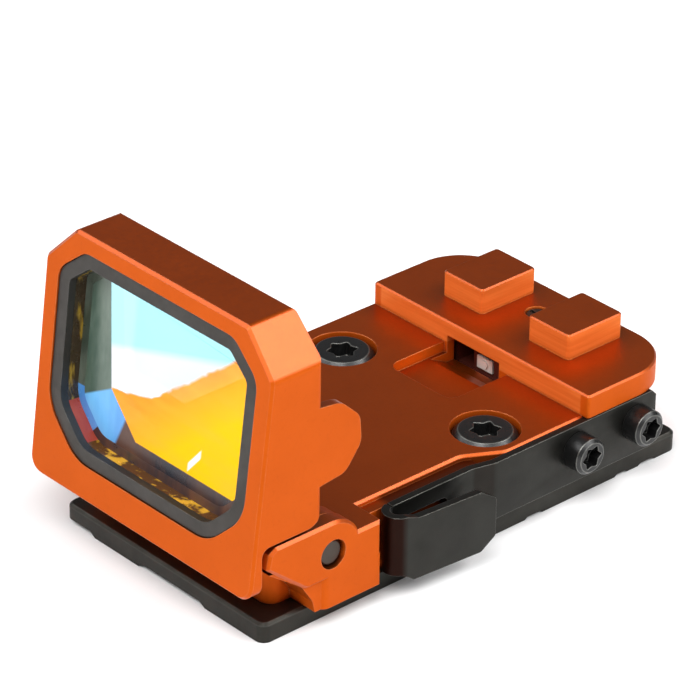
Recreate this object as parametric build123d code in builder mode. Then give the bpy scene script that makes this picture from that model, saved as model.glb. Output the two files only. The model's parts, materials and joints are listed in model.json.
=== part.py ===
"""Folding miniature reflex sight (red dot finder), modelled as its bench pieces.

Frame: +Z up, +X to the right, +Y towards the rear (the viewer's eye is behind the rear block).
The origin is the middle of the mounting plate's underside.  All sizes are in millimetres.
"""
from build123d import *
import os
from math import cos, radians, sin, sqrt, tan

os.makedirs("parts", exist_ok=True)

# ---------------------------------------------------------------- driving dimensions
# mounting plate and its own four fixing holes
PLATE_LENGTH = 47.7
PLATE_WIDTH = 25.4
PLATE_THICK = 1.85
PLATE_CORNER = 0.9
RELIEF_DEPTH = 0.38
RELIEF_SLOPE = 0.75
SCALLOP_DEPTH = 0.2
FIX_X = 17.2
FIX_Y = 38.0
FIX_R = 1.25
FIX_DEPTH = 3.4

# two deck screws that clamp the housing to the plate
DECK_SCREW_SPACING = 18.0
DECK_SCREW_Y = 4.05
DECK_HEAD_R = 2.8
DECK_BORE_R = 3.05
DECK_HEAD_T = 1.9
DECK_SHANK_R = 1.5

# base housing
DECK_Z = 7.9
BASE_FRONT = -21.6
BASE_REAR = 22.85
WAIST_HALF = 10.9
REAR_HALF = 13.45
LEAF_SEAT_HALF = 12.85
LEDGE_OUT = 12.0
LEDGE_TOP = 7.4
STEP_FRONT = -0.6
STEP_REAR = 2.9
REAR_CORNER = 5.0
FOOT_IN = 9.5
FOOT_FRONT = -18.9
FOOT_TOP = 4.9
# side outlines (y, z) of the hinge lug's nose and of the flare under it
NOSE_TOP = (-24.3, 9.35)
NOSE_TIP = (-24.57, 8.0)
NOSE_HEEL = (-20.75, 4.85)
FLARE_TIP = (-24.2, 7.35)
FLARE_TOE = (-19.5, 2.9)
FLARE_BASE = -19.3
FLARE_BACK = (-20.5, 6.9)

# wiring channel between the cell pocket and the board's bay
CHANNEL_TOP = 3.4

# raised rear block and its two rear posts
BLOCK_FRONT = 11.75
BLOCK_TOP = 10.0
POST_INNER = 2.85
POST_OUTER = 7.85
POST_FRONT = 14.8
POST_REAR = 21.35
POST_TOP = 12.35

# hood hinge
PIN_Y = -17.6
PIN_Z = 6.8
PIN_R = 0.9
PIN_HEAD_R = 1.15
RUN_GAP = 0.03
EAR_R = 2.9
EAR_IN = 11.05
EAR_OUT = 12.45
LUG_IN = 12.6
LUG_OUT = 14.15
LUG_R = 3.0
LUG_REAR = -12.4
LUG_LOW = 4.6
SPRING_IN = 8.4
SPRING_POCKET_R = 1.65

# lens hood
HOOD_HALF = 14.1
HOOD_TOP_HALF = 10.6
HOOD_TOP = 28.4
HOOD_CHAMFER_Z = 24.9
HOOD_BOTTOM = 5.55
HOOD_REAR = -18.85
HOOD_LEAN = 7.0
HOOD_FACE_Y = -24.1
SKIRT_BACK = -25.15
SIDE_BOTTOM = 10.2
FLOOR_BOTTOM = 8.3
BUMP_IN = 13.25

# lens stack, measured in the leaning plane of the hood's face
LENS_ORIGIN_Z = 16.0
BEZEL_HALF = 12.3
BEZEL_LOW = -7.3
BEZEL_HIGH = 10.93
BEZEL_RECESS = 0.9
BEZEL_THICK = 0.75
BEZEL_RIM = 1.25
LENS_INSET = 0.55
SPACER_T = 1.1
FRONT_LENS_T = 1.0
REAR_LENS_T = 1.4
LENS_GASKET_T = 0.3
APERTURE_INSET = 1.7

# coin cell, 20 mm across and 3.2 mm thick
CELL_R = 10.0
CELL_T = 3.2
CELL_Y = -7.15
CELL_POCKET_R = 10.15
CELL_Z = 2.35
CELL_POCKET_TOP = 6.0

# emitter bay inside the rear block
BAY_HALF = 6.0
BAY_FRONT = 12.6
BAY_REAR = 20.8
BAY_TOP = 9.0
BOARD_BAY_FRONT = 8.2
BOARD_BAY_TOP = 4.2
WINDOW_LEFT = -3.9
WINDOW_RIGHT = 2.6
WINDOW_LOW = 5.95
WINDOW_HIGH = 8.6

# shallow pocket in the deck ahead of the window
TROUGH_LEFT = -4.25
TROUGH_RIGHT = 3.6
TROUGH_FRONT = 5.1
TROUGH_FLOOR = 6.9
CHANNEL_FRONT = 9.8

# sealing gasket between housing and plate
GASKET_INSET = 0.4
GASKET_T = 0.3

# adjusters and button
ELEV_Y = 18.8
ELEV_R = 1.05
ELEV_SHANK_R = 0.7
WIND_Y = 15.35
WIND_Z = 6.8
WIND_R = 1.25
WIND_SHANK_R = 0.55
WIND_PLAY = 0.35
BUTTON_Y = 9.8
BUTTON_Z = 4.9
BUTTON_R = 1.9

# latch leaf
LEAF_T = 0.7
LEAF_LOW = 2.3
LEAF_TOP = 7.8
LEAF_REAR = 19.95
STRIP_IN = 12.3
BEND_Y = -10.15
BEND_GAP = 0.05
SLOT_FRONT = -8.9
SLOT_REAR = -4.0
SLOT_LOW = 4.6
SLOT_HIGH = 6.3
PAD_FRONT_X = 15.15
PAD_REAR_X = 15.85
PAD_REAR_Y = -1.1
PAD_LOW = 1.6
PAD_TOP = 7.4
LATCH_SCREW_YS = (10.45, 17.55)
LATCH_SCREW_Z = 5.45
LATCH_HEAD_R = 1.65
LATCH_HEAD_T = 1.9
LATCH_SHANK_R = 1.0

LEAN = tan(radians(HOOD_LEAN))


def face_y(z):
    """Y of the hood's leaning face at height z."""
    return HOOD_FACE_Y - (HOOD_CHAMFER_Z - z) * LEAN


LENS_PLANE = Plane(
    origin=(0, face_y(LENS_ORIGIN_Z), LENS_ORIGIN_Z),
    x_dir=(1, 0, 0),
    z_dir=(0, -cos(radians(HOOD_LEAN)), sin(radians(HOOD_LEAN))),
)


def bezel_points():
    """Corners of the bezel: a rectangle with four clipped corners."""
    w = BEZEL_HALF
    low = BEZEL_LOW
    high = BEZEL_HIGH
    return [
        (-w + 3.1, high), (w - 3.1, high), (w, high - 2.5), (w, low + 3.7),
        (w - 3.9, low), (-w + 3.9, low), (-w, low + 3.7), (-w, high - 2.5),
    ]


def save(part, name):
    """Label one finished piece and write it to its own STEP file."""
    part.label = name
    export_step(part, f"parts/{name}.step")


# ---------------------------------------------------------------- mounting plate
with BuildPart() as mounting_plate:
    with BuildSketch():
        RectangleRounded(PLATE_WIDTH, PLATE_LENGTH, PLATE_CORNER)
        with GridLocations(FIX_X, FIX_Y, 2, 2):
            Circle(FIX_R, mode=Mode.SUBTRACT)
        with Locations((0, DECK_SCREW_Y)):
            with GridLocations(DECK_SCREW_SPACING, 1, 2, 1):
                Circle(DECK_SHANK_R, mode=Mode.SUBTRACT)
    extrude(amount=PLATE_THICK)
    chamfer(mounting_plate.faces().sort_by(Axis.Z)[-1].outer_wire().edges(), length=0.25)
    # shallow reliefs along the front edge of the underside
    for start, end in ((-15.0, -8.6), (-3.2, 5.6)):
        with BuildSketch(Plane.XZ.offset(PLATE_LENGTH / 2 - 2.4)):
            with BuildLine():
                FilletPolyline(
                    (start, -0.1), (start + RELIEF_SLOPE, RELIEF_DEPTH),
                    (end - RELIEF_SLOPE, RELIEF_DEPTH), (end, -0.1),
                    radius=(0.0, 0.6, 0.6, 0.0), close=True,
                )
            make_face()
        extrude(amount=3.0, mode=Mode.SUBTRACT)
    # gentle scallops along both long edges of the underside
    for start, end in ((5.3, 7.7), (16.0, 17.9), (18.9, 21.3)):
        for side in (1, -1):
            with BuildSketch(Plane.YZ.offset(side * (PLATE_WIDTH / 2 - 0.9))):
                with BuildLine():
                    FilletPolyline(
                        (start, -0.1), (start + 0.5, SCALLOP_DEPTH),
                        (end - 0.5, SCALLOP_DEPTH), (end, -0.1),
                        radius=(0.0, 0.3, 0.3, 0.0), close=True,
                    )
                make_face()
            extrude(amount=side * 1.5, mode=Mode.SUBTRACT)
save(mounting_plate.part, "mounting_plate")

# plan outline of the housing: full width at the rear, narrow waist ahead of it
with BuildSketch() as base_outline:
    with BuildLine():
        FilletPolyline(
            (-WAIST_HALF, BASE_FRONT), (WAIST_HALF, BASE_FRONT),
            (WAIST_HALF, STEP_FRONT), (LEAF_SEAT_HALF, STEP_REAR),
            (LEAF_SEAT_HALF, BASE_REAR), (-REAR_HALF, BASE_REAR),
            (-REAR_HALF, STEP_REAR + 0.5), (-WAIST_HALF, STEP_FRONT - 0.5),
            radius=(1.2, 1.2, 1.8, 1.8, REAR_CORNER, REAR_CORNER, 1.8, 1.8),
            close=True,
        )
    make_face()

# side outline of a hinge lug, rounded about the pin so that the hood can swing past
with BuildSketch(Plane.YZ) as lug_outline:
    with BuildLine():
        shoulder = sqrt(LUG_R ** 2 - (DECK_Z - PIN_Z) ** 2)
        mid_turn = radians(55)
        Polyline(
            (PIN_Y, PIN_Z + LUG_R), (-23.6, PIN_Z + LUG_R), NOSE_TOP, NOSE_TIP,
            NOSE_HEEL, (-20.3, LUG_LOW), (LUG_REAR, LUG_LOW), (LUG_REAR, DECK_Z),
            (PIN_Y + shoulder, DECK_Z),
        )
        ThreePointArc(
            (PIN_Y + shoulder, DECK_Z),
            (PIN_Y + LUG_R * cos(mid_turn), PIN_Z + LUG_R * sin(mid_turn)),
            (PIN_Y, PIN_Z + LUG_R),
        )
    make_face()

# ---------------------------------------------------------------- base housing
with BuildPart() as base_housing:
    # main body, up to the deck
    with BuildSketch(Plane.XY.offset(PLATE_THICK)):
        add(base_outline.sketch_local)
    extrude(amount=DECK_Z - PLATE_THICK)
    chamfer(base_housing.faces().sort_by(Axis.Z)[-1].edges(), length=0.2)
    # raised rear block
    with BuildSketch(Plane.XY.offset(DECK_Z - 0.05)):
        with BuildLine():
            FilletPolyline(
                (-REAR_HALF, BLOCK_FRONT), (REAR_HALF, BLOCK_FRONT),
                (REAR_HALF, BASE_REAR), (-REAR_HALF, BASE_REAR),
                radius=(0.3, 0.3, REAR_CORNER, REAR_CORNER),
                close=True,
            )
        make_face()
    extrude(amount=BLOCK_TOP - DECK_Z + 0.05)
    chamfer(base_housing.faces().sort_by(Axis.Z)[-1].outer_wire().edges(), length=0.15)
    # two rear posts, slightly rounded in plan
    post_x = (POST_INNER + POST_OUTER) / 2
    post_y = (POST_FRONT + POST_REAR) / 2
    with BuildSketch(Plane.XY.offset(BLOCK_TOP)):
        with Locations((-post_x, post_y), (post_x, post_y)):
            RectangleRounded(POST_OUTER - POST_INNER, POST_REAR - POST_FRONT, 0.4)
    extrude(amount=POST_TOP - BLOCK_TOP)
    tops = base_housing.faces().filter_by(Axis.Z).group_by(Axis.Z)[-1]
    chamfer(tops.edges(), length=0.12)
    # hinge lugs outside the hood's ears, each on a flared foot
    for side in (1, -1):
        with BuildSketch(Plane.YZ.offset(side * LUG_IN)):
            add(lug_outline.sketch_local)
        extrude(amount=side * (LUG_OUT - LUG_IN))
        outer_face = base_housing.faces().filter_by(Axis.X).sort_by(Axis.X)[-1 if side > 0 else 0]
        chamfer(outer_face.edges(), length=0.25)
        with BuildSketch(Plane.XY.offset(PLATE_THICK)):
            with BuildLine():
                FilletPolyline(
                    (side * FOOT_IN, FOOT_FRONT), (side * LUG_OUT, FOOT_FRONT),
                    (side * LUG_OUT, LUG_REAR), (side * FOOT_IN, LUG_REAR),
                    radius=(0.0, 0.9, 0.25, 0.0), close=True,
                )
            make_face()
        extrude(amount=FOOT_TOP - PLATE_THICK)
        # flare from the foot up to the lug's lower front edge
        with BuildSketch(Plane.YZ.offset(side * FOOT_IN)):
            with BuildLine():
                FilletPolyline(
                    FLARE_TIP, NOSE_HEEL, FLARE_TOE, (FLARE_BASE, PLATE_THICK),
                    (PIN_Y, PLATE_THICK), (PIN_Y, FOOT_TOP), FLARE_BACK,
                    radius=(0.0, 1.5, 0.8, 0.0, 0.0, 0.0, 0.0), close=True,
                )
            make_face()
        extrude(amount=side * (LUG_OUT - 0.3 - FOOT_IN))
        # solid rear end of the ear's slot
        slot_mid = side * (WAIST_HALF + LUG_IN) / 2
        slot_end = PIN_Y + EAR_R
        with Locations((slot_mid, (slot_end + LUG_REAR) / 2, (2.2 + DECK_Z) / 2)):
            Box(LUG_IN - WAIST_HALF + 0.6, LUG_REAR - slot_end, DECK_Z - 2.2)
        # room for the ear to turn
        with BuildSketch(Plane.YZ.offset(side * WAIST_HALF)):
            with Locations((PIN_Y, PIN_Z)):
                Circle(EAR_R + 0.25)
        extrude(amount=side * (LUG_IN - WAIST_HALF), mode=Mode.SUBTRACT)
    # low ledge beside the waist that backs the latch leaf
    ledge_x = (WAIST_HALF + LEDGE_OUT) / 2
    with Locations((ledge_x, (LUG_REAR + STEP_FRONT) / 2, (PLATE_THICK + LEDGE_TOP) / 2)):
        Box(LEDGE_OUT - WAIST_HALF + 0.2, STEP_FRONT - LUG_REAR + 1.6, LEDGE_TOP - PLATE_THICK)
    # recess for the sealing gasket
    with BuildSketch(Plane.XY.offset(PLATE_THICK)):
        add(base_outline.sketch_local)
        offset(amount=-GASKET_INSET)
    extrude(amount=GASKET_T, mode=Mode.SUBTRACT)
    # coin-cell pocket from below
    with BuildSketch(Plane.XY.offset(PLATE_THICK)):
        with Locations((0, CELL_Y)):
            Circle(CELL_POCKET_R)
    extrude(amount=CELL_POCKET_TOP - PLATE_THICK, mode=Mode.SUBTRACT)
    # wiring channel and circuit-board bay from below
    with Locations((0, (CELL_Y + BAY_FRONT) / 2, (PLATE_THICK + CHANNEL_TOP) / 2)):
        Box(6.0, BAY_FRONT - CELL_Y, CHANNEL_TOP - PLATE_THICK, mode=Mode.SUBTRACT)
    with BuildSketch(Plane.XY.offset(PLATE_THICK)):
        with Locations((0, (BOARD_BAY_FRONT + BAY_REAR) / 2)):
            Rectangle(2 * BAY_HALF, BAY_REAR - BOARD_BAY_FRONT)
    extrude(amount=BOARD_BAY_TOP - PLATE_THICK, mode=Mode.SUBTRACT)
    # emitter bay inside the rear block
    with Locations((0, (BAY_FRONT + BAY_REAR) / 2, (PLATE_THICK + BAY_TOP) / 2)):
        Box(2 * BAY_HALF, BAY_REAR - BAY_FRONT, BAY_TOP - PLATE_THICK, mode=Mode.SUBTRACT)
    # emitter window through the block's front wall
    window_x = (WINDOW_LEFT + WINDOW_RIGHT) / 2
    with Locations((window_x, (BLOCK_FRONT + BAY_FRONT) / 2, (WINDOW_LOW + WINDOW_HIGH) / 2)):
        Box(
            WINDOW_RIGHT - WINDOW_LEFT, BAY_FRONT - BLOCK_FRONT + 0.4,
            WINDOW_HIGH - WINDOW_LOW, mode=Mode.SUBTRACT,
        )
    # shallow pocket in the deck, with a channel sloping down to the window's sill
    with BuildSketch(Plane.XY.offset(TROUGH_FLOOR)):
        with BuildLine():
            FilletPolyline(
                (TROUGH_LEFT, TROUGH_FRONT), (TROUGH_RIGHT, TROUGH_FRONT),
                (TROUGH_RIGHT, BLOCK_FRONT), (TROUGH_LEFT, BLOCK_FRONT),
                radius=(1.1, 1.1, 0.0, 0.0), close=True,
            )
        make_face()
    extrude(amount=DECK_Z - TROUGH_FLOOR, mode=Mode.SUBTRACT)
    with BuildSketch(Plane.YZ.offset(WINDOW_LEFT)):
        with BuildLine():
            Polyline(
                (CHANNEL_FRONT, TROUGH_FLOOR), (BLOCK_FRONT, WINDOW_LOW),
                (BLOCK_FRONT, TROUGH_FLOOR), close=True,
            )
        make_face()
    extrude(amount=WINDOW_RIGHT - WINDOW_LEFT, mode=Mode.SUBTRACT)
    # two counterbores for the deck screws
    with Locations((0, DECK_SCREW_Y, DECK_Z)):
        with GridLocations(DECK_SCREW_SPACING, 1, 2, 1):
            CounterBoreHole(DECK_SHANK_R + 0.05, DECK_BORE_R, DECK_HEAD_T + 0.15)
    # four blind holes above the plate's fixing holes
    with Locations((0, 0, PLATE_THICK)):
        with GridLocations(FIX_X, FIX_Y, 2, 2):
            Cylinder(FIX_R, 2 * (FIX_DEPTH - PLATE_THICK), mode=Mode.SUBTRACT)
    # hinge pin bores and torsion spring pockets
    for side in (1, -1):
        for start, end, radius in (
            (SPRING_IN - 1.2, LUG_OUT, PIN_R),
            (SPRING_IN, WAIST_HALF, SPRING_POCKET_R),
            (LUG_IN, LUG_OUT, PIN_HEAD_R),
            (LUG_OUT - 0.9, LUG_OUT, PIN_HEAD_R + 0.18),
        ):
            with BuildSketch(Plane.YZ.offset(side * start)):
                with Locations((PIN_Y, PIN_Z)):
                    Circle(radius)
            extrude(amount=side * (end - start), mode=Mode.SUBTRACT)
    # tapped holes for the latch screws
    with BuildSketch(Plane.YZ.offset(LEAF_SEAT_HALF)):
        with Locations(*[(y, LATCH_SCREW_Z) for y in LATCH_SCREW_YS]):
            Circle(LATCH_SHANK_R)
    extrude(amount=-3.2, mode=Mode.SUBTRACT)
    # elevation hole in the block's top, windage and button holes in the left side
    with Locations((0, ELEV_Y, BLOCK_TOP)):
        Hole(ELEV_R + RUN_GAP, depth=BLOCK_TOP - BAY_TOP + 0.1)
    with BuildSketch(Plane.YZ.offset(-REAR_HALF)):
        with Locations((WIND_Y, WIND_Z)):
            Circle(WIND_R + RUN_GAP)
    extrude(amount=REAR_HALF - BAY_HALF + 0.1, mode=Mode.SUBTRACT)
    with BuildSketch(Plane.YZ.offset(-REAR_HALF)):
        with Locations((BUTTON_Y, BUTTON_Z)):
            Circle(BUTTON_R + 0.15)
    extrude(amount=REAR_HALF - BAY_HALF + 0.1, mode=Mode.SUBTRACT)
save(base_housing.part, "base_housing")

# ---------------------------------------------------------------- sealing gasket
with BuildPart() as plate_gasket:
    with BuildSketch(Plane.XY.offset(PLATE_THICK)):
        add(base_outline.sketch_local)
        offset(amount=-GASKET_INSET)
        with Locations((0, CELL_Y)):
            Circle(CELL_POCKET_R, mode=Mode.SUBTRACT)
        with Locations((0, (BOARD_BAY_FRONT + BAY_REAR) / 2)):
            Rectangle(2 * BAY_HALF, BAY_REAR - BOARD_BAY_FRONT, mode=Mode.SUBTRACT)
        with Locations((0, (CELL_Y + BAY_FRONT) / 2)):
            Rectangle(6.0, BAY_FRONT - CELL_Y, mode=Mode.SUBTRACT)
        with GridLocations(FIX_X, FIX_Y, 2, 2):
            Circle(FIX_R, mode=Mode.SUBTRACT)
        with Locations((0, DECK_SCREW_Y)):
            with GridLocations(DECK_SCREW_SPACING, 1, 2, 1):
                Circle(DECK_SHANK_R + 0.05, mode=Mode.SUBTRACT)
    extrude(amount=GASKET_T)
save(plate_gasket.part, "plate_gasket")

# ---------------------------------------------------------------- lens hood
# side outline of the hood's shell: leaning face, skirt, step over the lugs, square rear
with BuildSketch(Plane.YZ) as shell_outline:
    with BuildLine():
        FilletPolyline(
            (face_y(HOOD_BOTTOM), HOOD_BOTTOM), (face_y(HOOD_TOP), HOOD_TOP),
            (HOOD_REAR, HOOD_TOP), (HOOD_REAR, SIDE_BOTTOM),
            (SKIRT_BACK, SIDE_BOTTOM), (SKIRT_BACK, HOOD_BOTTOM),
            radius=(0.0, 0.0, 0.4, 1.5, 0.8, 0.3),
            close=True,
        )
    make_face()

# catch bump on the rear edge of the right side wall
with BuildSketch(Plane.YZ) as bump_outline:
    with BuildLine():
        FilletPolyline(
            (HOOD_REAR - 1.0, 21.0), (-16.9, 20.6), (-14.9, 18.7), (-14.7, 16.2),
            (-16.4, 14.0), (HOOD_REAR - 1.0, 13.6),
            radius=(0.2, 1.8, 1.6, 1.6, 1.4, 0.2),
            close=True,
        )
    make_face()

# front outline of the hood: clipped top corners and rounded bottom corners
with BuildSketch(Plane.XZ) as front_outline:
    with BuildLine():
        FilletPolyline(
            (-HOOD_HALF, HOOD_BOTTOM), (HOOD_HALF, HOOD_BOTTOM),
            (HOOD_HALF, HOOD_CHAMFER_Z), (HOOD_TOP_HALF, HOOD_TOP),
            (-HOOD_TOP_HALF, HOOD_TOP), (-HOOD_HALF, HOOD_CHAMFER_Z),
            radius=(1.5, 1.5, 0.7, 0.7, 0.7, 0.7),
            close=True,
        )
    make_face()

# bezel outline in the leaning lens plane
with BuildSketch() as bezel_outline:
    with BuildLine():
        Polyline(*bezel_points(), close=True)
    make_face()
    bezel_corners = bezel_outline.vertices().sort_by(Axis.Y)
    fillet(bezel_corners[:4], radius=4.0)
    fillet(bezel_outline.vertices().sort_by(Axis.Y)[-4:], radius=2.0)

# side outline of the ear that turns on the hinge pin
with BuildSketch(Plane.YZ) as ear_outline:
    with Locations((PIN_Y, PIN_Z)):
        Circle(EAR_R)
    with BuildLine():
        Polyline(
            (PIN_Y - 1.15, PIN_Z), (PIN_Y - 1.15, SIDE_BOTTOM + 0.5), (SKIRT_BACK, SIDE_BOTTOM + 0.5),
            (SKIRT_BACK, FLOOR_BOTTOM), (PIN_Y - 2.6, PIN_Z), close=True,
        )
    make_face()

with BuildPart() as lens_hood:
    with BuildSketch(Plane.YZ.offset(-HOOD_HALF)):
        add(shell_outline.sketch_local)
    extrude(amount=2 * HOOD_HALF)
    # upright rear corners rounded
    with BuildSketch():
        with BuildLine():
            FilletPolyline(
                (-HOOD_HALF, -30.0), (HOOD_HALF, -30.0), (HOOD_HALF, HOOD_REAR), (-HOOD_HALF, HOOD_REAR),
                radius=(0.0, 0.0, 0.5, 0.5), close=True,
            )
        make_face()
    extrude(amount=HOOD_TOP + 1.0, mode=Mode.INTERSECT)
    # tunnel floor between the side walls
    with Locations((0, (SKIRT_BACK - 0.2 + HOOD_REAR) / 2, (FLOOR_BOTTOM + SIDE_BOTTOM + 0.4) / 2)):
        Box(2 * EAR_OUT, HOOD_REAR - SKIRT_BACK + 0.2, SIDE_BOTTOM + 0.4 - FLOOR_BOTTOM)
    for side in (1, -1):
        with BuildSketch(Plane.YZ.offset(side * EAR_IN)):
            add(ear_outline.sketch_local)
        extrude(amount=side * (EAR_OUT - EAR_IN))
    # catch bump on the latch's side only
    with BuildSketch(Plane.YZ.offset(BUMP_IN)):
        add(bump_outline.sketch_local)
    extrude(amount=HOOD_HALF - BUMP_IN)
    # trim to the front outline
    with BuildSketch(Plane.XZ.offset(-PIN_Y - 10.0)) as trim:
        add(front_outline.sketch_local)
    extrude(amount=40.0, both=True, mode=Mode.INTERSECT)
    # bezel recess, lens seat and rear aperture, all square to the leaning face
    with BuildSketch(LENS_PLANE):
        add(bezel_outline.sketch_local)
        offset(amount=0.05)
    extrude(amount=-BEZEL_RECESS, mode=Mode.SUBTRACT)
    seat_depth = BEZEL_RECESS + SPACER_T + FRONT_LENS_T + REAR_LENS_T + LENS_GASKET_T
    with BuildSketch(LENS_PLANE):
        add(bezel_outline.sketch_local)
        offset(amount=-LENS_INSET)
    extrude(amount=-seat_depth, mode=Mode.SUBTRACT)
    with BuildSketch(LENS_PLANE):
        add(bezel_outline.sketch_local)
        offset(amount=-APERTURE_INSET)
    extrude(amount=-14.0, mode=Mode.SUBTRACT)
    leaning = [f for f in lens_hood.faces() if abs(f.normal_at().Y + cos(radians(HOOD_LEAN))) < 1e-3]
    front_face = ShapeList(leaning).sort_by(SortBy.AREA)[-1]
    chamfer(front_face.outer_wire().edges(), length=0.25)
    # pin bores through the ears
    with BuildSketch(Plane.YZ.offset(-LUG_OUT)):
        with Locations((PIN_Y, PIN_Z)):
            Circle(PIN_R + RUN_GAP)
    extrude(amount=2 * LUG_OUT, mode=Mode.SUBTRACT)
save(lens_hood.part, "lens_hood")

# ---------------------------------------------------------------- lens stack
with BuildPart() as lens_bezel:
    with BuildSketch(LENS_PLANE.offset(-BEZEL_RECESS)):
        add(bezel_outline.sketch_local)
        with BuildSketch(mode=Mode.PRIVATE) as bezel_hole:
            add(bezel_outline.sketch_local)
            offset(amount=-BEZEL_RIM)
        add(bezel_hole.sketch_local, mode=Mode.SUBTRACT)
    extrude(amount=BEZEL_THICK)
save(lens_bezel.part, "lens_bezel")


def lens_slab(depth, thick):
    """One glass element: the bezel outline, a little smaller, at a depth behind the face."""
    with BuildPart() as slab:
        with BuildSketch(LENS_PLANE.offset(-depth - thick)):
            add(bezel_outline.sketch_local)
            offset(amount=-LENS_INSET - 0.05)
        extrude(amount=thick)
    return slab.part


FRONT_LENS_DEPTH = BEZEL_RECESS + SPACER_T
REAR_LENS_DEPTH = FRONT_LENS_DEPTH + FRONT_LENS_T
save(lens_slab(FRONT_LENS_DEPTH, FRONT_LENS_T), "front_lens")
save(lens_slab(REAR_LENS_DEPTH, REAR_LENS_T), "rear_lens")

# ring that holds the glass back from the bezel
with BuildPart() as lens_spacer:
    with BuildSketch(LENS_PLANE.offset(-FRONT_LENS_DEPTH)):
        add(bezel_outline.sketch_local)
        offset(amount=-LENS_INSET - 0.05)
        with BuildSketch(mode=Mode.PRIVATE) as spacer_hole:
            add(bezel_outline.sketch_local)
            offset(amount=-BEZEL_RIM)
        add(spacer_hole.sketch_local, mode=Mode.SUBTRACT)
    extrude(amount=SPACER_T)
save(lens_spacer.part, "lens_spacer")

with BuildPart() as lens_gasket:
    gasket_depth = REAR_LENS_DEPTH + REAR_LENS_T + LENS_GASKET_T
    with BuildSketch(LENS_PLANE.offset(-gasket_depth)):
        add(bezel_outline.sketch_local)
        offset(amount=-LENS_INSET - 0.05)
        with BuildSketch(mode=Mode.PRIVATE) as gasket_hole:
            add(bezel_outline.sketch_local)
            offset(amount=-APERTURE_INSET)
        add(gasket_hole.sketch_local, mode=Mode.SUBTRACT)
    extrude(amount=LENS_GASKET_T)
save(lens_gasket.part, "lens_gasket")

# ---------------------------------------------------------------- hinge pins and springs
SPRING_WIRE_R = 0.16
SPRING_COIL_R = 1.36
SPRING_TURNS = 3.5
for side, hand in ((1, "right"), (-1, "left")):
    with BuildPart() as hinge_pin:
        with BuildSketch(Plane.YZ.offset(side * (SPRING_IN - 1.2))):
            with Locations((PIN_Y, PIN_Z)):
                Circle(PIN_R)
        extrude(amount=side * (LUG_OUT - 0.35 - SPRING_IN + 1.2))
        with BuildSketch(Plane.YZ.offset(side * (LUG_IN + 0.02))):
            with Locations((PIN_Y, PIN_Z)):
                Circle(PIN_HEAD_R)
        extrude(amount=side * (LUG_OUT - 0.35 - LUG_IN - 0.02))
        ends = hinge_pin.faces().sort_by(Axis.X)
        chamfer(ends[-1 if side > 0 else 0].edges(), length=0.15)
    save(hinge_pin.part, f"hinge_pin_{hand}")

    with BuildPart() as torsion_spring:
        coil_length = WAIST_HALF - SPRING_IN - 2 * SPRING_WIRE_R - 0.3
        with BuildLine() as coil_path:
            Helix(
                coil_length / SPRING_TURNS, coil_length, SPRING_COIL_R,
                center=(side * (SPRING_IN + 0.15 + SPRING_WIRE_R), PIN_Y, PIN_Z),
                direction=(side, 0, 0),
            )
        with BuildSketch(Plane(origin=coil_path.line @ 0, z_dir=coil_path.line % 0)):
            Circle(SPRING_WIRE_R)
        sweep()
    save(torsion_spring.part, f"torsion_spring_{hand}")

# ---------------------------------------------------------------- latch leaf
with BuildPart() as latch_spring:
    with BuildSketch(Plane.XY.offset(LEAF_LOW)):
        seat = LEAF_SEAT_HALF
        with BuildLine():
            FilletPolyline(
                (STRIP_IN, BEND_Y), (STRIP_IN + LEAF_T, BEND_Y),
                (STRIP_IN + LEAF_T, -1.1), (seat + LEAF_T, 1.0),
                (seat + LEAF_T, LEAF_REAR), (seat, LEAF_REAR),
                (seat, 1.0), (STRIP_IN, -1.1),
                radius=(0.0, 0.0, 1.6, 2.2, 0.0, 0.0, 1.6, 2.2),
                close=True,
            )
        make_face()
    extrude(amount=LEAF_TOP - LEAF_LOW)
    # slot through the strip beside the waist
    with BuildSketch(Plane.YZ):
        with Locations(((SLOT_FRONT + SLOT_REAR) / 2, (SLOT_LOW + SLOT_HIGH) / 2)):
            RectangleRounded(SLOT_REAR - SLOT_FRONT, SLOT_HIGH - SLOT_LOW, 0.5)
    extrude(amount=REAR_HALF + 2, mode=Mode.SUBTRACT)
    # screw holes and a clipped rear end
    with BuildSketch(Plane.YZ):
        with Locations(*[(y, LATCH_SCREW_Z) for y in LATCH_SCREW_YS]):
            Circle(LATCH_SHANK_R + 0.05)
    extrude(amount=REAR_HALF + 2, mode=Mode.SUBTRACT)
    rear_end = latch_spring.edges().filter_by(Axis.X).group_by(Axis.Y)[-1]
    chamfer(rear_end, length=0.5)
save(latch_spring.part, "latch_spring")

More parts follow.
